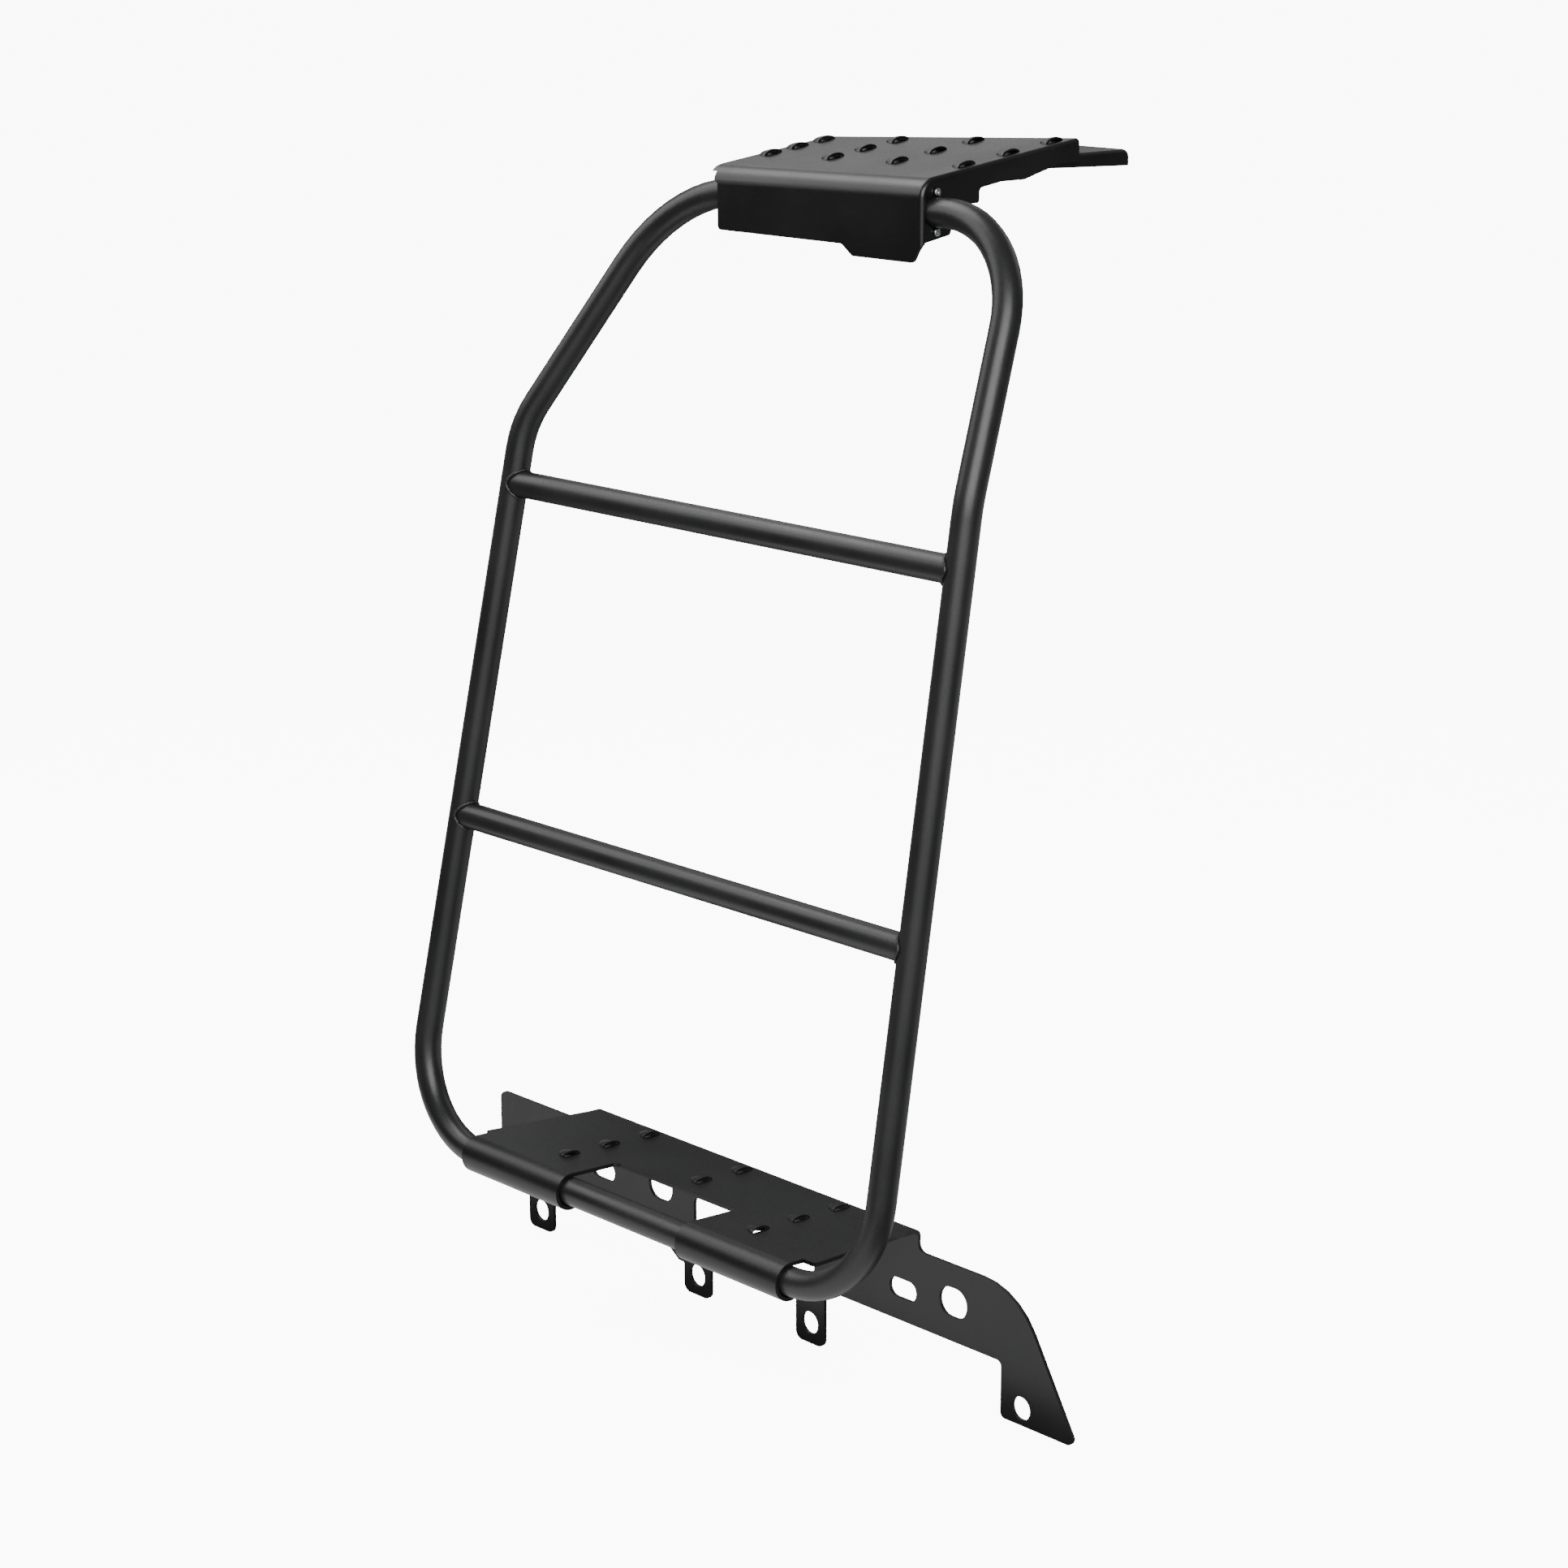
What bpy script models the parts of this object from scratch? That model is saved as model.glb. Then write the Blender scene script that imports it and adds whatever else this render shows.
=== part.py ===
"""Rear-door ladder step: a bent tube hoop with two rungs, a folded top tread with a hook,
and a folded bottom tread whose rear flange ends in four drilled legs.

Sizes below are in millimetres and the helpers turn them into metres.
+X runs along the rungs, +Y towards the vehicle, +Z up.
"""
import math

import bmesh
import bpy
from mathutils import Matrix, Quaternion, Vector

MM = 0.001
GAP = 0.3                     # clearance between pieces that touch
FRAME_ORIGIN = (4.5, 148.5, -26.0)   # on the rear flange's rear face

# Bent tube and rungs
TUBE_R = 12.7
RUNG_R = 12.1
LEAN = 103.5 / 656.0          # lower half of the hoop leans this far in Y for each Z
HOOP_CORNERS = (
    (-306.0, 0.0, 0.0, 91.2),
    (-254.0, 103.5, 656.0, 104.0),
    (-136.0, 186.9, 870.7, 140.0),
    (286.0, 186.9, 870.7, 97.2),
    (307.0, 103.5, 656.0, 100.0),
    (306.0, 0.0, 0.0, 91.2),
)
RUNG_HEIGHTS = {"lower_rung": 298.7, "upper_rung": 602.8}
TOP_TUBE_Y = 186.9
TOP_TUBE_Z = 870.7

# Bottom step
BOTTOM_SHEET = 3.5
STEP_CENTRE = 4.5
STEP_SLOPE = 0.05
STEP_HALF_FRONT = 222.0
STEP_HALF_REAR = 212.0
WRAP_LEFT = -211.5
WRAP_RIGHT = 212.5
WRAP_END = math.radians(300)
WRAP_EASE = 0.6               # the rolled edge is this much looser than the tube and hangs on it
WRAP_CLEAR_Y = 14.5
NOTCH_HALF = 80.0
NOTCH_BACK = 53.0
REAR_FACE = 148.5
REAR_BEND = 7.0

# Rear flange and its legs
FLANGE_TOP = -11.2
FLANGE_BOTTOM = -80.9
FLANGE_LEFT = -360.0
LEG_X = (-299.9, -71.7, 80.5)
LEG_HALF = 18.4
LEG_FOOT = -137.8
LEG_HOLE_Z = -118.4
LEG_HOLE_R = 10.5
GUSSET_WIDTH = 68.0
TAIL_INNER = 317.4
TAIL_FOOT = -131.4
TAIL_HOLE = (341.5, -116.0)
TAIL_TIP_X = 405.4
TAIL_TOP_X = 334.2
TAIL_ARC = 70.0
WINDOW = (-76.0, 86.0, -72.8, -41.5)
LONG_SLOTS = ((-205.3, -51.6), (198.5, -51.2))
LONG_SLOT = (33.0, 18.0)
WIDE_SLOTS = ((-122.8, -45.2), (259.7, -45.4))
WIDE_SLOT = (33.0, 27.0)

# Top step
TOP_SHEET = 3.0
TOP_LEFT = -80.0
TOP_RIGHT = 184.0
TOP_FRONT = 170.5
TOP_BEND = 17.0
SIDE_BEND = 4.0
SKIRT_Z = 820.0
FRONT_LEFT = -66.0            # the front flange stops short of the plate's left edge
FRONT_EDGE = 838.8
FLARE = (878.0, 888.0)        # height over which its left edge runs out to the plate's
EAR_LEFT = 102.0
EAR_RIGHT = 174.0
EAR_EDGE = 829.6
CHEEK_FRONT = 845.2
ARM_TIP = (205.5, 856.0)
CHEEK_BACK = (237.0, 874.8)
CHEEK_STEP = 887.0
SIDE_EDGE = 890.7
SIDE_EDGE_REAR = 901.0
LEFT_FLANGE_FRONT = 203.0
PLATE_Z = 894.4               # height of the plate at x -77, y 188.9
ROLL = 0.02
TOP_SLOPE = 0.13
REAR_EDGE_Y = 310.0
REAR_SKEW = 0.174

# Hook behind the top step
HOOK_LEFT = 60.0
HOOK_RIGHT = 180.4
HOOK_STRIP_Y = 255.0
HOOK_RISE_Y = 297.0
HOOK_FLAT_Y = 305.0
HOOK_BACK_Y = 424.0
HOOK_TOP = 908.5
HOOK_LIP_Z = 894.5
HOOK_BEND = 7.0
PAD_THICKNESS = 3.0
PAD_START = 25.0              # behind the hook's rise
PAD_INSET = 7.0               # from the hook's outer faces

# Clamps that hold the top tube
HEAD_R = 3.3
SCREW_OFFSET = TUBE_R + GAP + HEAD_R   # screw axis above and below the tube's axis
SCREW_R = 1.75
HEAD_H = 2.4
SOCKET_R = 1.2
WASHER_R = 3.3
WASHER_H = 0.8
NUT_R = 3.3
NUT_H = 2.8
CLAMP_RIGHT_IN = 157.0
CLAMP_LEFT_IN = -17.0
BRACKET_X = (-46.0, -42.0)
INSERT_FRONT = 181.0
INSERT_BACK = 203.0
INSERT_HALF_Z = 19.5

# Punched grip hoods on both steps
HOOD_LENGTH = 14.0
HOOD_HALF_WIDTH = 10.5
HOOD_HEIGHT = 4.2
HOOD_SHELL = 1.8
HOOD_SINK = 0.1
BOTTOM_HOOD_PITCH = 127.0
BOTTOM_HOOD_ROWS = (33.5, 80.6, 128.5)
TOP_HOOD_X = (-67.75, 10.75, 89.25, 167.75)
TOP_HOOD_FRONT = 231.0
TOP_HOOD_REAR = 18.0
BEYOND = 40.0                 # how far cutters reach past what they cut

PLANES = {
    "XY": Matrix.Identity(3),
    "XZ": Matrix(((1, 0, 0), (0, 0, -1), (0, 1, 0))),
    "YZ": Matrix(((0, 0, 1), (1, 0, 0), (0, 1, 0))),
}

for old in list(bpy.data.objects):
    bpy.data.objects.remove(old, do_unlink=True)

pieces = bpy.data.collections.new("pieces")
cutters = bpy.data.collections.new("cutters")
bpy.context.scene.collection.children.link(pieces)
bpy.context.scene.collection.children.link(cutters)
frame = bpy.data.objects.new("frame_origin", None)
frame.location = [-value * MM for value in FRAME_ORIGIN]
pieces.objects.link(frame)


def make_material(name, colour, roughness, metallic):
    material = bpy.data.materials.new(name)
    material.use_nodes = True
    shader = material.node_tree.nodes["Principled BSDF"]
    shader.inputs["Base Color"].default_value = (*colour, 1.0)
    shader.inputs["Roughness"].default_value = roughness
    shader.inputs["Metallic"].default_value = metallic
    return material


black_coat = make_material("black_coat", (0.012, 0.012, 0.013), 0.42, 0.0)
zinc = make_material("zinc", (0.62, 0.63, 0.64), 0.32, 1.0)
nylon = make_material("nylon", (0.02, 0.02, 0.021), 0.55, 0.0)
rubber = make_material("rubber", (0.015, 0.015, 0.015), 0.85, 0.0)


def tidy(mesh):
    """Merge doubled points and face every side outward."""
    bm = bmesh.new()
    bm.from_mesh(mesh)
    bmesh.ops.remove_doubles(bm, verts=bm.verts, dist=1e-6)
    bmesh.ops.recalc_face_normals(bm, faces=bm.faces)
    bm.to_mesh(mesh)
    bm.free()


def place(name, mesh, material=None):
    """A piece when a material is given, otherwise a hidden cutter; both hang on the frame."""
    obj = bpy.data.objects.new(name, mesh)
    obj.parent = frame
    if material:
        mesh.materials.append(material)
        mesh.shade_smooth()
        mesh.set_sharp_from_angle(angle=math.radians(32))
        pieces.objects.link(obj)
    else:
        cutters.objects.link(obj)
        obj.hide_render = True
        obj.display_type = "WIRE"
    return obj


def fillet_path(corners, closed=True, step=math.radians(12)):
    """Points along the given corners, each corner (point, radius) rounded by an arc."""
    points = []
    last = len(corners) - 1
    for index, (corner, radius) in enumerate(corners):
        if radius == 0 or (not closed and index in (0, last)):
            points.append(corner)
            continue
        back = (corners[index - 1][0] - corner).normalized()
        ahead = (corners[(index + 1) % len(corners)][0] - corner).normalized()
        half = back.angle(ahead) / 2
        centre = corner + (back + ahead).normalized() * (radius / math.sin(half))
        start = corner + back * (radius / math.tan(half)) - centre
        finish = corner + ahead * (radius / math.tan(half)) - centre
        sweep = math.pi - 2 * half
        count = max(2, math.ceil(sweep / step))
        axis = start.cross(finish).normalized()
        for turn in range(count + 1):
            points.append(centre + Quaternion(axis, sweep * turn / count) @ start)
    return points


def outline(*corners, closed=True):
    """Flat outline from (x, y, radius) corners."""
    return fillet_path([(Vector((x, y, 0)), radius) for x, y, radius in corners], closed)


def rounded_box(low_x, high_x, low_y, high_y, radius):
    return outline((low_x, low_y, radius), (high_x, low_y, radius),
                   (high_x, high_y, radius), (low_x, high_y, radius))


def disc(x, y, radius, count=32):
    turns = [math.tau * index / count for index in range(count)]
    return [Vector((x + radius * math.cos(t), y + radius * math.sin(t), 0)) for t in turns]


def arc(radius, start, finish, count=30):
    turns = [start + (finish - start) * index / count for index in range(count + 1)]
    return [Vector((radius * math.cos(t), radius * math.sin(t), 0)) for t in turns]


def prism(name, loops, plane, low, high, material=None):
    """Fill flat loops and give them depth from low to high across the named plane."""
    curve = bpy.data.curves.new(name, "CURVE")
    curve.dimensions = "2D"
    curve.fill_mode = "BOTH"
    curve.extrude = (high - low) / 2 * MM
    for loop in loops:
        spline = curve.splines.new("POLY")
        spline.points.add(len(loop) - 1)
        for point, spot in zip(spline.points, loop):
            point.co = (spot.x * MM, spot.y * MM, 0, 1)
        spline.use_cyclic_u = True
    source = bpy.data.objects.new(name, curve)
    mesh = bpy.data.meshes.new_from_object(source)
    bpy.data.objects.remove(source)
    middle = (high + low) / 2 * MM
    if plane == "XZ":
        middle = -middle
    mesh.transform(PLANES[plane].to_4x4() @ Matrix.Translation((0, 0, middle)))
    tidy(mesh)
    return place(name, mesh, material)


def rod(name, centre, radius, length, axis="X", sides=32, material=None):
    """A cylinder whose middle is at centre."""
    bm = bmesh.new()
    bmesh.ops.create_cone(bm, cap_ends=True, segments=sides, radius1=radius * MM,
                          radius2=radius * MM, depth=length * MM)
    mesh = bpy.data.meshes.new(name)
    bm.to_mesh(mesh)
    bm.free()
    if axis == "X":
        mesh.transform(Matrix.Rotation(math.pi / 2, 4, "Y"))
    mesh.transform(Matrix.Translation(Vector(centre) * MM))
    return place(name, mesh, material)


def combine(target, tool, operation="DIFFERENCE"):
    change = target.modifiers.new(tool.name, "BOOLEAN")
    change.operation = operation
    change.solver = "EXACT"
    change.object = tool


def hoop(name, radius, material=None):
    """The closed bent tube as a thick wire."""
    corners = [(Vector(corner[:3]), corner[3]) for corner in HOOP_CORNERS]
    path = fillet_path(corners, step=math.radians(6))
    curve = bpy.data.curves.new(name, "CURVE")
    curve.dimensions = "3D"
    curve.bevel_depth = radius * MM
    curve.bevel_resolution = 6
    spline = curve.splines.new("POLY")
    spline.points.add(len(path) - 1)
    for point, spot in zip(spline.points, path):
        point.co = (*(spot * MM), 1)
    spline.use_cyclic_u = True
    source = bpy.data.objects.new(name, curve)
    mesh = bpy.data.meshes.new_from_object(source)
    bpy.data.objects.remove(source)
    tidy(mesh)
    return place(name, mesh, material)


def plate_z(x, y):
    """Height of the top step's upper face."""
    return PLATE_Z + ROLL * (x + 77.0) + TOP_SLOPE * (y - 188.9)


def under_plate(x, y):
    return plate_z(x, y) - TOP_SHEET * math.hypot(1, TOP_SLOPE)


def rear_edge(x):
    return REAR_EDGE_Y + REAR_SKEW * (x - TOP_LEFT)


def folded_sheet(name, profile, closing, low_x, high_x, roll_weight, material):
    """Sheet bent along a YZ profile with a folded skirt at each end.

    The profile runs from front to rear; closing holds the skirt's free corners.
    """
    bm = bmesh.new()
    ends = []
    for x in (low_x, high_x):
        ends.append([bm.verts.new((x, spot.x, spot.y)) for spot in profile])
    for index in range(len(profile) - 1):
        bm.faces.new((ends[0][index], ends[1][index], ends[1][index + 1], ends[0][index + 1]))
    folds = []
    for x, end in zip((low_x, high_x), ends):
        rim = end + [bm.verts.new((x, y, z)) for y, z in closing]
        bm.faces.new(rim if x == low_x else rim[::-1])
        folds += [bm.edges.get(pair) for pair in zip(end, end[1:])]
    bm.normal_update()
    bmesh.ops.bevel(bm, geom=folds, offset=SIDE_BEND, offset_type="OFFSET", segments=3,
                    profile=0.5, affect="EDGES")
    for vert in bm.verts:
        vert.co.z += ROLL * (vert.co.x + 77.0) * roll_weight(vert.co)
    bmesh.ops.scale(bm, vec=(MM, MM, MM), verts=bm.verts)
    mesh = bpy.data.meshes.new(name)
    bm.to_mesh(mesh)
    bm.free()
    sheet = place(name, mesh, material)
    thickness = sheet.modifiers.new("thickness", "SOLIDIFY")
    thickness.thickness = TOP_SHEET * MM
    thickness.offset = -1
    thickness.use_even_offset = True
    return sheet


def hoods(name, spots, grow, depth, ahead):
    """Half domes for the punched grips; each spot is a matrix with the mouth towards +X."""
    bm = bmesh.new()
    bmesh.ops.create_uvsphere(bm, u_segments=16, v_segments=8, radius=1)
    for vert in bm.verts:
        if vert.co.z < -0.01:
            vert.co.z = -depth / (HOOD_HEIGHT + grow)
    everything = bm.verts[:] + bm.edges[:] + bm.faces[:]
    bmesh.ops.bisect_plane(bm, geom=everything, dist=1e-5, plane_no=(1, 0, 0), clear_outer=True)
    rim = [edge for edge in bm.edges if edge.is_boundary]
    bmesh.ops.holes_fill(bm, edges=rim, sides=0)
    size = (HOOD_LENGTH + grow, HOOD_HALF_WIDTH + grow, HOOD_HEIGHT + grow)
    bmesh.ops.scale(bm, vec=size, verts=bm.verts)
    bmesh.ops.translate(bm, vec=(HOOD_LENGTH / 2 + ahead, 0, -HOOD_SINK), verts=bm.verts)
    bmesh.ops.scale(bm, vec=(MM, MM, MM), verts=bm.verts)
    dome = bpy.data.meshes.new(name + "_one")
    bm.to_mesh(dome)
    bm.free()
    bm = bmesh.new()
    for spot in spots:
        copy = dome.copy()
        copy.transform(spot)
        bm.from_mesh(copy)
    mesh = bpy.data.meshes.new(name)
    bm.to_mesh(mesh)
    bm.free()
    tidy(mesh)
    return place(name, mesh)


def punch_hoods(sheet, spots, thickness):
    """Raise the hoods on a sheet and open the pocket below each one."""
    combine(sheet, hoods(sheet.name + "_hoods", spots, 0.0, 1.0, 0.0), "UNION")
    combine(sheet, hoods(sheet.name + "_mouths", spots, -HOOD_SHELL, thickness + 2.0, 0.6))


# Tube work
hoop_tube = hoop("hoop_tube", TUBE_R, black_coat)
hoop_clearance = hoop("hoop_clearance", TUBE_R + GAP)
for rung_name, rung_z in RUNG_HEIGHTS.items():
    low_left = HOOP_CORNERS[0][0]
    left = low_left + (HOOP_CORNERS[1][0] - low_left) * rung_z / HOOP_CORNERS[1][2]
    low_right = HOOP_CORNERS[5][0]
    right = low_right + (HOOP_CORNERS[4][0] - low_right) * rung_z / HOOP_CORNERS[4][2]
    middle = ((left + right) / 2, rung_z * LEAN, rung_z)
    rung = rod(rung_name, middle, RUNG_R, right - left, material=black_coat)
    combine(rung, hoop_clearance)

# Bottom step: one strip rolled round the bottom tube, run back and bent down at the rear
wrap_in = TUBE_R + GAP + WRAP_EASE
wrap_out = wrap_in + BOTTOM_SHEET
wrap_start = math.pi / 2 - math.atan(STEP_SLOPE)


def step_z(y):
    """Height of the bottom step's upper face."""
    return wrap_out * math.hypot(1, STEP_SLOPE) - STEP_SLOPE * y - WRAP_EASE


drop = BOTTOM_SHEET * math.hypot(1, STEP_SLOPE)
hang = Vector((0, -WRAP_EASE, 0))
outer_wrap = [spot + hang for spot in arc(wrap_out, WRAP_END, wrap_start)]
inner_wrap = [spot + hang for spot in arc(wrap_in, wrap_start, WRAP_END)]
outer_bend = outline((outer_wrap[-1].x, outer_wrap[-1].y, 0),
                     (REAR_FACE, step_z(REAR_FACE), REAR_BEND),
                     (REAR_FACE, LEG_FOOT - BEYOND, 0), closed=False)
inner_y = REAR_FACE - BOTTOM_SHEET
inner_bend = outline((inner_y, LEG_FOOT - BEYOND, 0),
                     (inner_y, step_z(inner_y) - drop, REAR_BEND - BOTTOM_SHEET),
                     (inner_wrap[0].x, inner_wrap[0].y, 0), closed=False)
section = outer_wrap + outer_bend[1:] + inner_bend[:-1] + inner_wrap
bottom_step = prism("bottom_step", [section], "YZ", FLANGE_LEFT - BEYOND, TAIL_TIP_X + BEYOND,
                    black_coat)

split_y = REAR_FACE - 18.0
before = -BEYOND
side_cuts = []
for side, wrap_x in ((-1, WRAP_LEFT), (1, WRAP_RIGHT)):
    front_x = STEP_CENTRE + side * STEP_HALF_FRONT
    rear_x = STEP_CENTRE + side * STEP_HALF_REAR
    outside = side * (TAIL_TIP_X + 2 * BEYOND)
    side_cuts.append(outline((wrap_x, before, 0), (wrap_x, WRAP_CLEAR_Y, 0),
                             (front_x, WRAP_CLEAR_Y, 4), (rear_x, split_y, 0),
                             (outside, split_y, 0), (outside, before, 0)))
notch = outline((STEP_CENTRE - NOTCH_HALF, before, 0), (STEP_CENTRE - NOTCH_HALF, NOTCH_BACK, 5),
                (STEP_CENTRE + NOTCH_HALF, NOTCH_BACK, 5), (STEP_CENTRE + NOTCH_HALF, before, 0))
combine(bottom_step, prism("bottom_step_plan", side_cuts + [notch], "XY",
                           LEG_FOOT - 2 * BEYOND, BEYOND))

neck_left = STEP_CENTRE - STEP_HALF_REAR
neck_right = STEP_CENTRE + STEP_HALF_REAR
flange = [(neck_left, BEYOND, 0), (neck_left, FLANGE_TOP, 8), (FLANGE_LEFT, FLANGE_TOP, 8),
          (FLANGE_LEFT, FLANGE_BOTTOM, 3)]
for leg_x in LEG_X:
    if leg_x == LEG_X[1]:
        flange += [(leg_x - GUSSET_WIDTH, FLANGE_BOTTOM, 5), (leg_x - 26, LEG_HOLE_Z + 8, 4),
                   (leg_x - LEG_HALF, LEG_HOLE_Z + 8, 1.5)]
    else:
        flange += [(leg_x - LEG_HALF, FLANGE_BOTTOM, 2)]
    flange += [(leg_x - LEG_HALF, LEG_FOOT, 8), (leg_x + LEG_HALF, LEG_FOOT, 8),
               (leg_x + LEG_HALF, FLANGE_BOTTOM, 2)]
flange += [(TAIL_INNER, FLANGE_BOTTOM, 5), (TAIL_INNER, TAIL_FOOT, 5),
           (TAIL_TIP_X, TAIL_FOOT, 6), (TAIL_TOP_X, FLANGE_TOP, TAIL_ARC),
           (neck_right, FLANGE_TOP, 8), (neck_right, BEYOND, 0)]
openings = [disc(leg_x, LEG_HOLE_Z, LEG_HOLE_R) for leg_x in LEG_X]
openings.append(disc(*TAIL_HOLE, LEG_HOLE_R))
openings.append(rounded_box(*WINDOW, 8))
for spots, (width, height) in ((LONG_SLOTS, LONG_SLOT), (WIDE_SLOTS, WIDE_SLOT)):
    for x, z in spots:
        openings.append(rounded_box(x - width / 2, x + width / 2,
                                    z - height / 2, z + height / 2, height / 2 - 0.2))
surround = rounded_box(FLANGE_LEFT - 2 * BEYOND, TAIL_TIP_X + 2 * BEYOND,
                       LEG_FOOT - 2 * BEYOND, 2 * BEYOND, 0)
combine(bottom_step, prism("rear_flange_cut", [surround, outline(*flange)] + openings,
                           "XZ", split_y - 0.5, REAR_FACE + BEYOND))

bottom_spots = []
for column in (-1, 0, 1):
    for row in BOTTOM_HOOD_ROWS:
        if column == 0 and row < NOTCH_BACK:
            continue
        spot = Vector((STEP_CENTRE + column * BOTTOM_HOOD_PITCH, row, step_z(row))) * MM
        tilt = Matrix.Rotation(-math.atan(STEP_SLOPE), 4, "X")
        bottom_spots.append(Matrix.Translation(spot) @ tilt)
punch_hoods(bottom_step, bottom_spots, BOTTOM_SHEET)

# Top step: folded tray, then its free edges cut to shape
plate_front_z = plate_z(-77.0, TOP_FRONT)
tray_back = rear_edge(TOP_RIGHT) + BEYOND
top_profile = outline((TOP_FRONT, SKIRT_Z, 0), (TOP_FRONT, plate_front_z, TOP_BEND),
                      (tray_back, plate_z(-77.0, tray_back), 0), closed=False)


def top_roll(spot):
    return min(1.0, max(0.0, (spot.z - SKIRT_Z) / (top_profile[1].y - SKIRT_Z)))


top_step = folded_sheet("top_step", top_profile, [(tray_back, SKIRT_Z)], TOP_LEFT, TOP_RIGHT,
                        top_roll, black_coat)
below = SKIRT_Z - BEYOND
behind = tray_back + BEYOND
past_right = TOP_RIGHT + BEYOND
past_left = TOP_LEFT - BEYOND
corner_y = TOP_FRONT + SIDE_BEND
front_cut = outline((past_right, below, 0), (past_right, CHEEK_FRONT, 0),
                    (TOP_RIGHT - 1, CHEEK_FRONT, 4), (EAR_RIGHT, EAR_EDGE, 6),
                    (EAR_LEFT, EAR_EDGE, 5), (EAR_LEFT - 13, FRONT_EDGE, 5),
                    (FRONT_LEFT, FRONT_EDGE, 4), (FRONT_LEFT, FLARE[0], 0),
                    (TOP_LEFT - 0.5, FLARE[1], 0), (past_left, FLARE[1], 0), (past_left, below, 0))
combine(top_step, prism("top_front_cut", [front_cut], "XZ", TOP_FRONT - BEYOND, corner_y + 0.5))
bore_edge = TOP_TUBE_Y + 9.1
cheek_cut = outline((corner_y, below, 0), (corner_y, CHEEK_FRONT + 1, 0),
                    (ARM_TIP[0] - 2.5, ARM_TIP[1] - 5, 2.5), (*ARM_TIP, 2),
                    (bore_edge, ARM_TIP[1] + 3.5, 0), (bore_edge, TOP_TUBE_Z - 3, 0),
                    (bore_edge + 3, TOP_TUBE_Z + 4.5, 0), (*CHEEK_BACK, 3),
                    (CHEEK_BACK[0], CHEEK_STEP, 4), (CHEEK_BACK[0] + 26, SIDE_EDGE, 6),
                    (CHEEK_BACK[0] + 53, SIDE_EDGE, 8), (CHEEK_BACK[0] + 74, SIDE_EDGE_REAR - 5, 6),
                    (CHEEK_BACK[0] + 95, SIDE_EDGE_REAR, 6), (behind, SIDE_EDGE_REAR + 1, 0),
                    (behind, below, 0))
combine(top_step, prism("top_cheek_cut", [cheek_cut], "YZ", TOP_RIGHT - 9, past_right))
left_cut = outline((TOP_FRONT - BEYOND, below, 0), (TOP_FRONT - BEYOND, FLARE[1], 0),
                   (LEFT_FLANGE_FRONT, FLARE[1], 0), (LEFT_FLANGE_FRONT + 9, FLARE[1] - 9, 5),
                   (behind, SIDE_EDGE_REAR + 4, 0), (behind, below, 0))
combine(top_step, prism("top_left_cut", [left_cut], "YZ", past_left, TOP_LEFT + 9))
rear_cut = outline((past_left, rear_edge(past_left), 0), (past_right, rear_edge(past_right), 0),
                   (past_right, behind, 0), (past_left, behind, 0))
combine(top_step, prism("top_rear_cut", [rear_cut], "XY", below, PLATE_Z + 2 * BEYOND))
cheek_holes = [disc(TOP_TUBE_Y, TOP_TUBE_Z, TUBE_R + GAP)]
for side in (-1, 1):
    cheek_holes.append(disc(TOP_TUBE_Y, TOP_TUBE_Z + side * SCREW_OFFSET, SCREW_R + GAP, 16))
for index, hole in enumerate(cheek_holes):
    combine(top_step, prism("cheek_hole_%d" % index, [hole], "YZ", TOP_RIGHT - 8.5, past_right))

top_spots = []
for x in TOP_HOOD_X:
    rear = rear_edge(x) - TOP_HOOD_REAR
    for y in (TOP_HOOD_FRONT, (TOP_HOOD_FRONT + rear) / 2, rear):
        spot = Matrix.Translation(Vector((x, y, plate_z(x, y))) * MM)
        tilt = Matrix.Rotation(math.atan(TOP_SLOPE), 4, "X")
        roll = Matrix.Rotation(-math.atan(ROLL), 4, "Y")
        top_spots.append(spot @ tilt @ roll)
punch_hoods(top_step, top_spots, TOP_SHEET)

# Rear hook: a strip under the plate that runs back as a channel with a lip
hook_lift = under_plate(-77.0, HOOK_STRIP_Y) - GAP
hook_profile = outline((HOOK_STRIP_Y, hook_lift, 0),
                       (HOOK_RISE_Y, hook_lift + TOP_SLOPE * (HOOK_RISE_Y - HOOK_STRIP_Y), 0),
                       (HOOK_FLAT_Y, HOOK_TOP, 0), (HOOK_BACK_Y, HOOK_TOP, HOOK_BEND),
                       (HOOK_BACK_Y, HOOK_LIP_Z, 0), closed=False)


def hook_roll(spot):
    return min(1.0, max(0.0, (HOOK_FLAT_Y - spot.y) / (HOOK_FLAT_Y - HOOK_RISE_Y)))


rear_hook = folded_sheet("rear_hook", hook_profile, [(HOOK_STRIP_Y, HOOK_LIP_Z)],
                         HOOK_LEFT, HOOK_RIGHT, hook_roll, black_coat)
strip_edges = []
for edge_x, outside in ((HOOK_LEFT, -12), (HOOK_RIGHT, 12)):
    inside = edge_x - math.copysign(SIDE_BEND + 0.3, outside)
    low, high = sorted((inside, edge_x + outside))
    strip_edges.append(rounded_box(low, high, HOOK_STRIP_Y - 10, HOOK_FLAT_Y + 2, 0))
combine(rear_hook, prism("hook_strip_cut", strip_edges, "XY", HOOK_LIP_Z - BEYOND,
                         HOOK_TOP + BEYOND))
pad_top = HOOK_TOP - TOP_SHEET - GAP
hook_pad = prism("hook_pad", [rounded_box(HOOK_LEFT + PAD_INSET, HOOK_RIGHT - PAD_INSET,
                                          HOOK_FLAT_Y + PAD_START, HOOK_BACK_Y - PAD_INSET, 6)],
                 "XY", pad_top - PAD_THICKNESS, pad_top, rubber)

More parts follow.
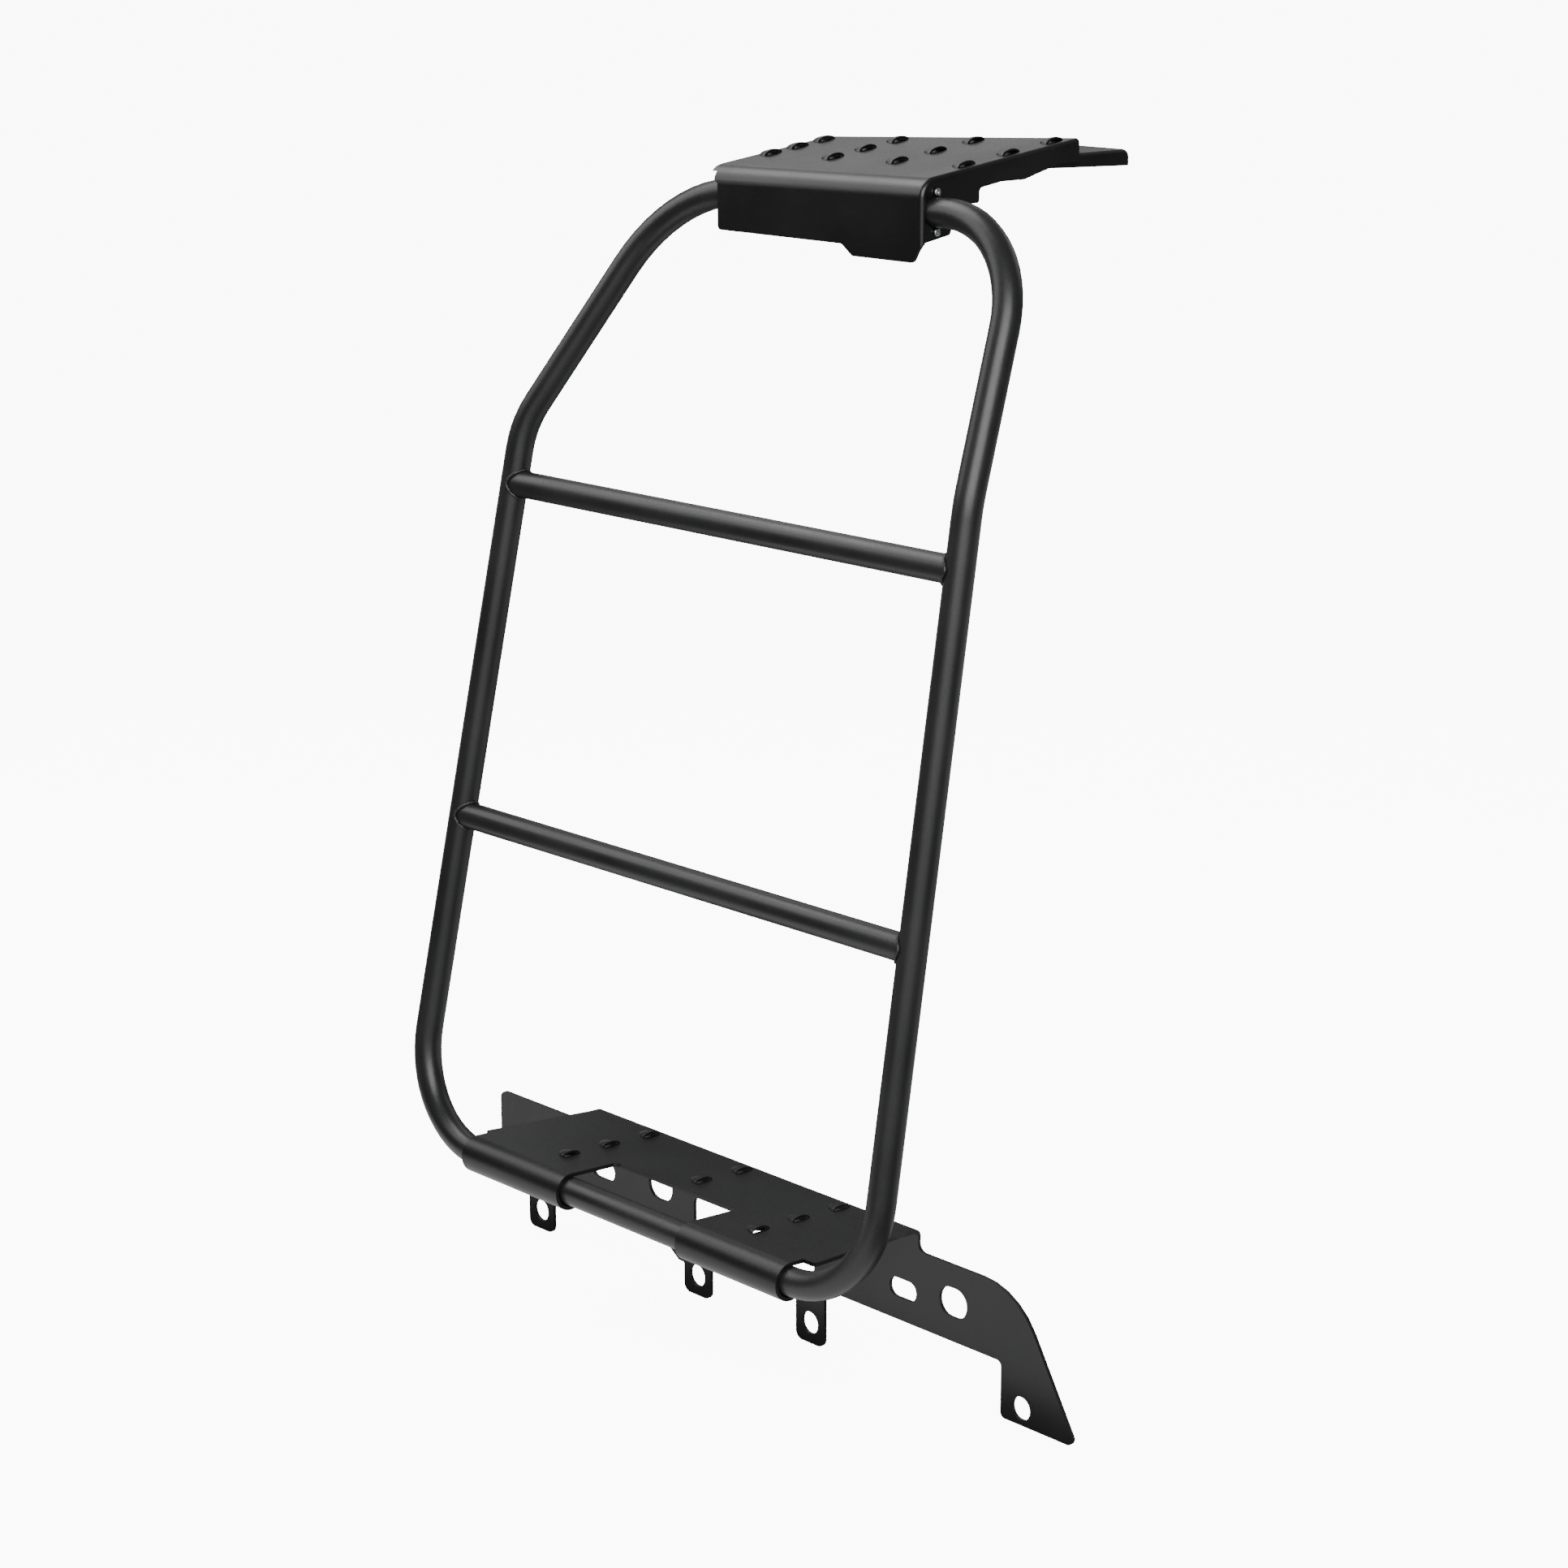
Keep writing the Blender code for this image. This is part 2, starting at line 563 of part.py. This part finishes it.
# Clamps: a bored insert each side, held by two screws with washers and nuts
tube_bore = rod("insert_bore", (50, TOP_TUBE_Y, TOP_TUBE_Z), TUBE_R + GAP, 400)
screw_bores = []
for side in (-1, 1):
    spot = (50, TOP_TUBE_Y, TOP_TUBE_Z + side * SCREW_OFFSET)
    screw_bores.append(rod("screw_bore_%d" % side, spot, SCREW_R + GAP, 400, sides=16))

bracket_low, bracket_high = BRACKET_X
bracket_top = [(y, under_plate(bracket_low, y) - GAP - 0.2, 0) for y in (186, 224)]
bracket = outline((178, 849, 3), (214, 849, 6), (224, 862, 4), bracket_top[1], bracket_top[0],
                  (178, 884, 2))
left_bracket = prism("left_clamp_bracket", [bracket], "YZ", bracket_low, bracket_high, black_coat)
insert = rounded_box(INSERT_FRONT, INSERT_BACK, TOP_TUBE_Z - INSERT_HALF_Z,
                     TOP_TUBE_Z + INSERT_HALF_Z, 3)
cheek_in = TOP_RIGHT - TOP_SHEET
right_insert = prism("right_clamp_insert", [insert], "YZ", CLAMP_RIGHT_IN, cheek_in - GAP, nylon)
left_insert = prism("left_clamp_insert", [insert], "YZ", bracket_high + GAP, CLAMP_LEFT_IN, nylon)
for piece in (left_bracket, right_insert, left_insert):
    for bore in [tube_bore] + screw_bores:
        combine(piece, bore)


def fasten(label, head_face, nut_face, z):
    """Screw from head_face to past the nut, a washer on nut_face and a hexagonal nut."""
    way = 1 if head_face > nut_face else -1
    washer_x = nut_face - way * (GAP + WASHER_H / 2)
    nut_x = washer_x - way * (WASHER_H / 2 + GAP + NUT_H / 2)
    tip = nut_x - way * (NUT_H / 2 + 1.5)
    head_x = head_face + way * (GAP + HEAD_H / 2)
    spot_y = TOP_TUBE_Y
    inner = head_x - way * (HEAD_H / 2 - 0.5)
    shank = rod("shank_" + label, ((inner + tip) / 2, spot_y, z), SCREW_R, abs(inner - tip),
                sides=20)
    socket = rod("socket_" + label, (head_x + way * (HEAD_H / 2), spot_y, z), SOCKET_R, HEAD_H, sides=6)
    screw = rod("screw_" + label, (head_x, spot_y, z), HEAD_R, HEAD_H, material=zinc)
    dome = screw.modifiers.new("dome", "BEVEL")
    dome.width = 0.9 * MM
    dome.segments = 3
    dome.limit_method = "ANGLE"
    dome.angle_limit = math.radians(50)
    combine(screw, shank, "UNION")
    combine(screw, socket)
    hole = rod("thread_" + label, (nut_x, spot_y, z), SCREW_R + GAP, 12, sides=20)
    washer = rod("washer_" + label, (washer_x, spot_y, z), WASHER_R, WASHER_H, material=zinc)
    nut = rod("nut_" + label, (nut_x, spot_y, z), NUT_R, NUT_H, sides=6, material=zinc)
    for piece in (washer, nut):
        combine(piece, hole)


for height, side in (("lower", -1), ("upper", 1)):
    screw_z = TOP_TUBE_Z + side * SCREW_OFFSET
    fasten("right_" + height, TOP_RIGHT, CLAMP_RIGHT_IN, screw_z)
    fasten("left_" + height, bracket_low, CLAMP_LEFT_IN, screw_z)
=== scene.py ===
import math

import bpy
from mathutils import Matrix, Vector


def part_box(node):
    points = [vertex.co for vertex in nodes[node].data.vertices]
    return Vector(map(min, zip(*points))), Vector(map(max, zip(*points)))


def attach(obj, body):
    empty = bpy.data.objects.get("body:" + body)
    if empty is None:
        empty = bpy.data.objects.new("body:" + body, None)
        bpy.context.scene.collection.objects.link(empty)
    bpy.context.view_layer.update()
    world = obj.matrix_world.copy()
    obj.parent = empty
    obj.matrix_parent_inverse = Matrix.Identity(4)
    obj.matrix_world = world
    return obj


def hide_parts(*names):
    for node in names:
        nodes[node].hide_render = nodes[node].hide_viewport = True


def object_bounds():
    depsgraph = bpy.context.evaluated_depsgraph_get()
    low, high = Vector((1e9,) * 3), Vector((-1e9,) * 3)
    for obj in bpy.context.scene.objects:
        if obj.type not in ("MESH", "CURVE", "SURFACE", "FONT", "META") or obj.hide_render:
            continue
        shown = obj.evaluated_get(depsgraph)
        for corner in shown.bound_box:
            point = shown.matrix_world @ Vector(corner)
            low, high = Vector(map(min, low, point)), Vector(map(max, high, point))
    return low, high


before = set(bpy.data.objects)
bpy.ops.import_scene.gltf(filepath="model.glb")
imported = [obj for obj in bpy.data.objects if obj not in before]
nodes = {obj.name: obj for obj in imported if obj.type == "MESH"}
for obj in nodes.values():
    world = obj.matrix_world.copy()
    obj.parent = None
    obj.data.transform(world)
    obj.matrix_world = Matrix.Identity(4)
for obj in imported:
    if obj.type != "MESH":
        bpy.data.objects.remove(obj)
cadBox = [list(corner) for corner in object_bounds()]
print("stage: frame loaded,", len(nodes), "nodes")


def pickNone():
    if bpy.context.mode != "OBJECT":
        bpy.ops.object.mode_set(mode="OBJECT")
    bpy.ops.object.select_all(action="DESELECT")


def pickOnly(piece):
    pickNone()
    piece.select_set(True)
    bpy.context.view_layer.objects.active = piece


pickNone()


def hexColour(text):
    # sRGB hex to the linear colour that the sockets take
    parts = [int(text[i:i + 2], 16) / 255 for i in (0, 2, 4)]
    return [p / 12.92 if p <= 0.04045 else ((p + 0.055) / 1.055) ** 2.4 for p in parts] + [1.0]


def perMetre(millimetres):
    # the scale of a pattern whose features are this far apart
    return 1000.0 / millimetres


def addNode(tree, kind, settings=None, links=None, stops=None):
    # settings name a socket or a property, links give a socket its source, stops fill a ramp
    node = tree.nodes.new(kind)
    for key, value in (settings or {}).items():
        if isinstance(key, int) or key in node.inputs:
            node.inputs[key].default_value = value
        else:
            setattr(node, key, value)
    for key, source in (links or {}).items():
        tree.links.new(source, node.inputs[key])
    if stops:
        elements = node.color_ramp.elements
        while len(elements) < len(stops):
            elements.new(0.5)
        for element, (position, colour) in zip(elements, stops):
            element.position = position
            element.color = colour
    return node


def newMaterial(name):
    material = bpy.data.materials.new(name)
    material.use_nodes = True
    tree = material.node_tree
    return material, tree, tree.nodes["Principled BSDF"]


def dressShader(tree, shader, tone, rough, normal):
    tree.links.new(tone, shader.inputs["Base Color"])
    tree.links.new(rough, shader.inputs["Roughness"])
    tree.links.new(normal, shader.inputs["Normal"])


# noise keeps nearly all of its values between these two
noiseLow, noiseHigh = 0.3, 0.7

tubeLook = {
    "name": "satinBlackPowderTube",
    "base": "141415",            # black polyester powder
    "thick": "1c1c1d",           # where the film is thick it looks a little lighter
    "filmRange": (0.35, 0.70),   # noise values between which the film goes from thin to thick
    "dust": "3a3a39",
    "dustRange": (0.62, 0.80),
    "dustShare": 0.20,
    "cloudSize": 90.0,           # all sizes in mm
    "peelSize": 1.8,             # orange peel of the film, drawn a little coarse so that it shows
    "grainSize": 0.5,            # leather grain of the powder, drawn coarse as well
    "speckSize": 7.0,
    "roughLow": 0.33,
    "roughHigh": 0.43,
    "grainRough": (-0.04, 0.06),
    "specular": 0.5,
    "ior": 1.5,
    "peelDepth": 0.0002,         # depths in metres
    "peelStrength": 0.16,
    "grainDepth": 0.0001,
    "grainStrength": 0.20,
}
# the bottom step gets a darker copy of the same black powder: its darker base and thick tones are
# painted shade
treadLookPaintedShade = dict(tubeLook, name="satinBlackPowderTreadPaintedShade", base="0c0c0d", thick="121213",
                 peelSize=2.4, roughLow=0.31, roughHigh=0.40, specular=0.42)
# the top step, hook and clamp bracket get a still darker copy of the same black powder: its
# darker base and thick tones are painted shade
topLookPaintedShade = dict(tubeLook, name="satinBlackPowderTopPaintedShade", base="070708", thick="0c0c0d",
               peelSize=2.4, roughLow=0.30, roughHigh=0.38, specular=0.46)


def powderCoat(look):
    # satin powder on steel: broad soft highlights over a faint orange peel, with a little dust
    material, tree, shader = newMaterial(look["name"])
    place = addNode(tree, "ShaderNodeTexCoord").outputs["Object"]
    cloud = addNode(tree, "ShaderNodeTexNoise",
                    {"Scale": perMetre(look["cloudSize"]), "Detail": 4.0},
                    {"Vector": place}).outputs["Fac"]
    grain = addNode(tree, "ShaderNodeTexNoise",
                    {"Scale": perMetre(look["grainSize"]), "Detail": 2.0},
                    {"Vector": place}).outputs["Fac"]
    peel = addNode(tree, "ShaderNodeTexNoise",
                   {"Scale": perMetre(look["peelSize"]), "Detail": 1.0},
                   {"Vector": place}).outputs["Fac"]
    speck = addNode(tree, "ShaderNodeTexNoise",
                    {"Scale": perMetre(look["speckSize"]), "Detail": 8.0, "Roughness": 0.7},
                    {"Vector": place}).outputs["Fac"]
    thin, thick = look["filmRange"]
    film = addNode(tree, "ShaderNodeValToRGB", None, {"Fac": cloud},
                   [(thin, hexColour(look["base"])),
                    (thick, hexColour(look["thick"]))]).outputs["Color"]
    clean, dusty = look["dustRange"]
    dust = addNode(tree, "ShaderNodeMapRange",
                   {"From Min": clean, "From Max": dusty, "To Min": 0.0,
                    "To Max": look["dustShare"]}, {"Value": speck}).outputs["Result"]
    tone = addNode(tree, "ShaderNodeMix", {"data_type": "RGBA", 7: hexColour(look["dust"])},
                   {"Factor": dust, 6: film}).outputs[2]
    broad = addNode(tree, "ShaderNodeMapRange",
                    {"From Min": noiseLow, "From Max": noiseHigh, "To Min": look["roughLow"],
                     "To Max": look["roughHigh"]}, {"Value": cloud}).outputs["Result"]
    smoother, rougher = look["grainRough"]
    fine = addNode(tree, "ShaderNodeMapRange",
                   {"From Min": noiseLow, "From Max": noiseHigh, "To Min": smoother,
                    "To Max": rougher}, {"Value": grain}).outputs["Result"]
    rough = addNode(tree, "ShaderNodeMath", {"operation": "ADD"},
                    {0: broad, 1: fine}).outputs[0]
    wavy = addNode(tree, "ShaderNodeBump",
                   {"Strength": look["peelStrength"], "Distance": look["peelDepth"]},
                   {"Height": peel}).outputs["Normal"]
    grainy = addNode(tree, "ShaderNodeBump",
                     {"Strength": look["grainStrength"], "Distance": look["grainDepth"]},
                     {"Height": grain, "Normal": wavy}).outputs["Normal"]
    dressShader(tree, shader, tone, rough, grainy)
    shader.inputs["Specular IOR Level"].default_value = look["specular"]
    shader.inputs["IOR"].default_value = look["ior"]
    return material


zincLook = {
    "name": "brightZincPlate",
    "pale": "d2d4d8",
    "deep": "aeb2b8",
    "spangle": 0.8,
    "scratch": 0.5,
    "roughLow": 0.20,
    "roughHigh": 0.38,
    "depth": 0.00005,
    "strength": 0.15,
}


def zincPlate(look):
    # bright zinc on steel: pale metal with a faint spangle, a blue cast and fine scratches
    material, tree, shader = newMaterial(look["name"])
    place = addNode(tree, "ShaderNodeTexCoord").outputs["Object"]
    spangle = addNode(tree, "ShaderNodeTexVoronoi", {"Scale": perMetre(look["spangle"])},
                      {"Vector": place}).outputs["Distance"]
    scratch = addNode(tree, "ShaderNodeTexNoise",
                      {"Scale": perMetre(look["scratch"]), "Detail": 5.0},
                      {"Vector": place}).outputs["Fac"]
    tone = addNode(tree, "ShaderNodeValToRGB", None, {"Fac": spangle},
                   [(0.0, hexColour(look["pale"])),
                    (1.0, hexColour(look["deep"]))]).outputs["Color"]
    rough = addNode(tree, "ShaderNodeMapRange",
                    {"From Min": noiseLow, "From Max": noiseHigh, "To Min": look["roughLow"],
                     "To Max": look["roughHigh"]}, {"Value": scratch}).outputs["Result"]
    bump = addNode(tree, "ShaderNodeBump",
                   {"Strength": look["strength"], "Distance": look["depth"]},
                   {"Height": scratch}).outputs["Normal"]
    dressShader(tree, shader, tone, rough, bump)
    shader.inputs["Metallic"].default_value = 1.0
    return material


nylonLook = {
    "name": "mouldedBlackNylon",
    "low": "161617",
    "high": "202022",
    "grain": 0.6,
    "roughLow": 0.50,
    "roughHigh": 0.66,
    "depth": 0.0001,
    "strength": 0.3,
    "ior": 1.53,
}


def mouldedNylon(look):
    # moulded black nylon: matt, with the fine spark-eroded grain of its mould
    material, tree, shader = newMaterial(look["name"])
    place = addNode(tree, "ShaderNodeTexCoord").outputs["Object"]
    grain = addNode(tree, "ShaderNodeTexNoise",
                    {"Scale": perMetre(look["grain"]), "Detail": 3.0},
                    {"Vector": place}).outputs["Fac"]
    tone = addNode(tree, "ShaderNodeValToRGB", None, {"Fac": grain},
                   [(noiseLow, hexColour(look["low"])),
                    (noiseHigh, hexColour(look["high"]))]).outputs["Color"]
    rough = addNode(tree, "ShaderNodeMapRange",
                    {"From Min": noiseLow, "From Max": noiseHigh, "To Min": look["roughLow"],
                     "To Max": look["roughHigh"]}, {"Value": grain}).outputs["Result"]
    bump = addNode(tree, "ShaderNodeBump",
                   {"Strength": look["strength"], "Distance": look["depth"]},
                   {"Height": grain}).outputs["Normal"]
    dressShader(tree, shader, tone, rough, bump)
    shader.inputs["IOR"].default_value = look["ior"]
    return material


rubberLook = {
    "name": "cutSheetRubber",
    "low": "141414",
    "bloom": "242322",
    "bloomRange": (0.35, 0.75),
    "bloomSize": 18.0,
    "grain": 0.7,
    "roughLow": 0.78,
    "roughHigh": 0.92,
    "depth": 0.0002,
    "strength": 0.35,
}


def cutRubber(look):
    # cut sheet rubber: dead matt, with a dusty bloom
    material, tree, shader = newMaterial(look["name"])
    place = addNode(tree, "ShaderNodeTexCoord").outputs["Object"]
    bloom = addNode(tree, "ShaderNodeTexNoise",
                    {"Scale": perMetre(look["bloomSize"]), "Detail": 6.0},
                    {"Vector": place}).outputs["Fac"]
    grain = addNode(tree, "ShaderNodeTexNoise",
                    {"Scale": perMetre(look["grain"]), "Detail": 2.0},
                    {"Vector": place}).outputs["Fac"]
    bare, bloomed = look["bloomRange"]
    tone = addNode(tree, "ShaderNodeValToRGB", None, {"Fac": bloom},
                   [(bare, hexColour(look["low"])),
                    (bloomed, hexColour(look["bloom"]))]).outputs["Color"]
    rough = addNode(tree, "ShaderNodeMapRange",
                    {"From Min": noiseLow, "From Max": noiseHigh, "To Min": look["roughLow"],
                     "To Max": look["roughHigh"]}, {"Value": bloom}).outputs["Result"]
    bump = addNode(tree, "ShaderNodeBump",
                   {"Strength": look["strength"], "Distance": look["depth"]},
                   {"Height": grain}).outputs["Normal"]
    dressShader(tree, shader, tone, rough, bump)
    return material


tubeCoat = powderCoat(tubeLook)
treadCoatPaintedShade = powderCoat(treadLookPaintedShade)
topCoatPaintedShade = powderCoat(topLookPaintedShade)
zinc = zincPlate(zincLook)
nylon = mouldedNylon(nylonLook)
rubber = cutRubber(rubberLook)

fasteners = [name for name in nodes if name.startswith(("screw_", "washer_", "nut_"))]
finishes = {
    # finish: record slot, width of the softened edges in mm, CAD nodes
    tubeCoat: ("black_coat", 0.0, ["hoop_tube", "lower_rung", "upper_rung"]),
    # the bottom step's coat is the same powder, darkened as painted shade
    treadCoatPaintedShade: ("black_coat", 0.5, ["bottom_step"]),
    # the top step's, hook's and bracket's coat is the same powder, darkened further as painted
    # shade
    topCoatPaintedShade: ("black_coat", 0.45, ["top_step", "rear_hook", "left_clamp_bracket"]),
    nylon: ("nylon", 0.6, ["left_clamp_insert", "right_clamp_insert"]),
    rubber: ("rubber", 0.5, ["hook_pad"]),
    zinc: ("zinc", 0.15, fasteners),
}
edgeLook = {
    "merge": 0.00001,      # metres
    "flat": 0.6,           # degrees, below which two faces count as one
    "bevelFrom": 50.0,     # degrees, from which an edge is softened
    "segments": 2,
    "smoothTo": 32.0,      # degrees, up to which shading runs across an edge
    "weight": 100,
}


def finishedCopy(node, finish, edge, look):
    # the frame's faces are loose and flat, so a merged copy gets smooth bends and soft edges
    piece = bpy.data.objects.new(node + "_finished", nodes[node].data.copy())
    bpy.context.scene.collection.objects.link(piece)
    pickOnly(piece)
    bpy.ops.mesh.customdata_custom_splitnormals_clear()
    bpy.ops.object.mode_set(mode="EDIT")
    bpy.ops.mesh.select_mode(type="VERT")
    bpy.ops.mesh.select_all(action="SELECT")
    bpy.ops.mesh.remove_doubles(threshold=look["merge"])
    if edge:
        bpy.ops.mesh.dissolve_limited(angle_limit=math.radians(look["flat"]))
    bpy.ops.object.mode_set(mode="OBJECT")
    if edge:
        bevel = piece.modifiers.new("softEdges", "BEVEL")
        bevel.width = edge / 1000
        bevel.segments = look["segments"]
        bevel.limit_method = "ANGLE"
        bevel.angle_limit = math.radians(look["bevelFrom"])
        bpy.ops.object.modifier_apply(modifier=bevel.name)
    bpy.ops.object.shade_smooth_by_angle(angle=math.radians(look["smoothTo"]))
    if edge:
        # broad faces stay flat up to their softened edges
        level = piece.modifiers.new("levelFaces", "WEIGHTED_NORMAL")
        level.weight = look["weight"]
        level.keep_sharp = True
        bpy.ops.object.modifier_apply(modifier=level.name)
    piece.data.materials.clear()
    piece.data.materials.append(finish)
    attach(piece, "root")
    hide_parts(node)


for finish, (slotName, edgeWidth, names) in finishes.items():
    for name in names:
        # the frame's own node is hidden behind its copy, and gets the same finish
        for slot in nodes[name].material_slots:
            slot.material = finish
        finishedCopy(name, finish, edgeWidth, edgeLook)
print("stage: finished copies of", sum(len(row[2]) for row in finishes.values()), "nodes")

weldLook = {
    "ring": 0.0128,        # from the rung's axis to the middle of the bead, in metres
    "bead": 0.0016,        # half the bead's thickness
    "beadSides": 12,
    "ripples": 26,         # dimes round one weld
    "rippleSegments": 6,
    "rippleDepth": 0.0002,
    "rimSteps": 72,
    "hub": 0.005,          # corners nearer the rung's axis than this aren't on its rim
}


def rimOf(rung, side, look):
    # how far the rung's coped end reaches at each angle round its axis
    low, high = (Vector(corner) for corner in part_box(rung))
    middle = (low + high) / 2
    count = look["rimSteps"]
    reach = [None] * count
    for corner in nodes[rung].data.vertices:
        y, z = corner.co.y - middle.y, corner.co.z - middle.z
        if (corner.co.x - middle.x) * side > 0 and math.hypot(y, z) > look["hub"]:
            step = round(math.atan2(z, y) / (2 * math.pi) * count) % count
            if reach[step] is None or corner.co.x * side > reach[step] * side:
                reach[step] = corner.co.x
    known = [step for step in range(count) if reach[step] is not None]
    filled = []
    for step in range(count):
        before = max((k for k in known if k <= step), default=known[-1] - count)
        after = min((k for k in known if k >= step), default=known[0] + count)
        share = 0 if after == before else (step - before) / (after - before)
        filled.append(reach[before % count] * (1 - share) + reach[after % count] * share)
    return middle, filled


def weldBead(name, rung, side, look):
    # a fillet bead round the coped end of the rung, laid as a row of dimes
    middle, rim = rimOf(rung, side, look)
    pickNone()
    bpy.ops.mesh.primitive_torus_add(location=middle, rotation=(0, math.radians(90), 0),
                                     major_radius=look["ring"], minor_radius=look["bead"],
                                     major_segments=look["ripples"] * look["rippleSegments"],
                                     minor_segments=look["beadSides"])
    bead = bpy.context.object
    bead.name = name
    bpy.ops.object.transform_apply(location=True, rotation=True, scale=True)
    for corner in bead.data.vertices:
        across = Vector((0, corner.co.y - middle.y, corner.co.z - middle.z))
        turn = math.atan2(across.z, across.y)
        spot = (turn / (2 * math.pi) * len(rim)) % len(rim)
        step = int(spot)
        end = rim[step] * (1 - spot + step) + rim[(step + 1) % len(rim)] * (spot - step)
        swell = look["rippleDepth"] * abs(math.sin(turn * look["ripples"] / 2))
        corner.co.x += end - middle.x
        corner.co += across.normalized() * swell
    pickOnly(bead)
    bpy.ops.object.shade_smooth()
    bead.data.materials.append(tubeCoat)
    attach(bead, "root")


for rungName in ("lower_rung", "upper_rung"):
    for sideName, sideSign in (("left", -1), ("right", 1)):
        weldBead("weld_" + rungName + "_" + sideName, rungName, sideSign, weldLook)
print("stage: weld beads")

stageLook = {
    "floorDrop": 0.004,
    "floorSize": 120.0,    # so large that no view of the object reaches its edge
    "floor": "f2f2f2",
    "roughness": 0.9,
    "specular": 0.1,
    "glow": 11.0,          # the floor is lit as evenly as a light table
    # grey of the room from straight down to straight up: dim, so that the black stays black
    "room": ((0.0, 0.22), (0.40, 0.13), (0.50, 0.11), (0.62, 0.13), (1.0, 0.26)),
}


def makeFloor(look):
    pickNone()
    low = cadBox[0][2] - look["floorDrop"]
    bpy.ops.mesh.primitive_plane_add(size=look["floorSize"], location=(0, 0, low))
    floor = bpy.context.object
    floor.name = "paleFloor"
    material, _, shader = newMaterial("paleFloorPaint")
    shader.inputs["Base Color"].default_value = hexColour(look["floor"])
    shader.inputs["Roughness"].default_value = look["roughness"]
    shader.inputs["Specular IOR Level"].default_value = look["specular"]
    shader.inputs["Emission Color"].default_value = hexColour(look["floor"])
    shader.inputs["Emission Strength"].default_value = look["glow"]
    floor.data.materials.append(material)
    # such a bright floor would wash the black finish out if it lit the object
    floor.visible_glossy = False
    floor.visible_diffuse = False


def softSky(look):
    world = bpy.data.worlds.new("studioSky")
    world.use_nodes = True
    tree = world.node_tree
    way = addNode(tree, "ShaderNodeTexCoord").outputs["Generated"]
    height = addNode(tree, "ShaderNodeSeparateXYZ", None, {0: way}).outputs["Z"]
    share = addNode(tree, "ShaderNodeMapRange",
                    {"From Min": -1.0, "From Max": 1.0, "To Min": 0.0, "To Max": 1.0},
                    {"Value": height}).outputs["Result"]
    tone = addNode(tree, "ShaderNodeValToRGB", None, {"Fac": share},
                   [(position, (grey, grey, grey, 1.0))
                    for position, grey in look["room"]]).outputs["Color"]
    tree.links.new(tone, tree.nodes["Background"].inputs["Color"])
    bpy.context.scene.world = world


tableLevel = cadBox[0][2] - 0.003    # just above the floor
lightLook = {
    # place, point it aims at, width and height in metres, glow of its cloth
    "frontBox": ((-1.6, -0.9, 1.95), (0.0, 0.0, 0.5), (2.0, 1.6), 2.5),
    "topBox": ((-1.1, -0.1, 2.6), (0.0, 0.1, 0.9), (1.3, 1.3), 4.5),
    "cameraBox": ((2.0, -1.5, 1.95), (0.1, 0.0, 0.7), (2.6, 1.8), 7.5),
    "lowBoard": ((1.5, -1.6, 0.40), (0.0, 0.0, 0.4), (3.2, 1.0), 1.0),
    "backBox": ((-1.5, 1.45, 1.90), (0.0, 0.1, 0.8), (1.3, 0.9), 1.0),
    "tableGlow": ((-0.20, -0.50, tableLevel), (-0.20, -0.50, 1.0), (1.3, 0.86), 1.1),
    "rearBoard": ((0.9, 1.8, 0.05), (0.0, 0.0, 0.2), (2.4, 0.7), 0.8),
    "rearBox": ((-0.1, 2.5, 1.8), (0.0, 0.0, 0.6), (2.0, 1.2), 0.8),
    "rearGlow": ((0.30, 0.50, tableLevel), (0.30, 0.50, 1.0), (1.5, 0.65), 0.6),
    "leftBoard": ((-2.0, 0.5, 0.3), (0.0, 0.0, 0.4), (1.6, 0.7), 0.4),
}


def softLight(name, place, aim, size, glow):
    data = bpy.data.lights.new(name, "AREA")
    data.shape = "RECTANGLE"
    data.size, data.size_y = size
    data.energy = glow * math.pi * size[0] * size[1]
    light = bpy.data.objects.new(name, data)
    light.location = place
    light.rotation_mode = "QUATERNION"
    light.rotation_quaternion = (Vector(aim) - Vector(place)).to_track_quat("-Z", "Y")
    light.visible_camera = False
    bpy.context.scene.collection.objects.link(light)


makeFloor(stageLook)
softSky(stageLook)
for lightName, lightParts in lightLook.items():
    softLight(lightName, *lightParts)

cameraLook = {
    # fitted to the photo's edges; place in metres, angles in degrees, focal length in its pixels
    "place": (2.3424, -2.1141, 1.1957),
    "turn": 47.464,
    "tilt": 14.343,
    "focal": 4582.8,
    "pixels": 1932,
    "sensor": 36,
}
cameraData = bpy.data.cameras.new("photoCamera")
cameraData.sensor_width = cameraLook["sensor"]
cameraData.lens = cameraLook["focal"] / cameraLook["pixels"] * cameraLook["sensor"]
camera = bpy.data.objects.new("photoCamera", cameraData)
camera.location = cameraLook["place"]
camera.rotation_euler = (math.radians(90 - cameraLook["tilt"]), 0,
                         math.radians(cameraLook["turn"]))
bpy.context.scene.collection.objects.link(camera)
bpy.context.scene.camera = camera
print("stage: floor, lights and camera")
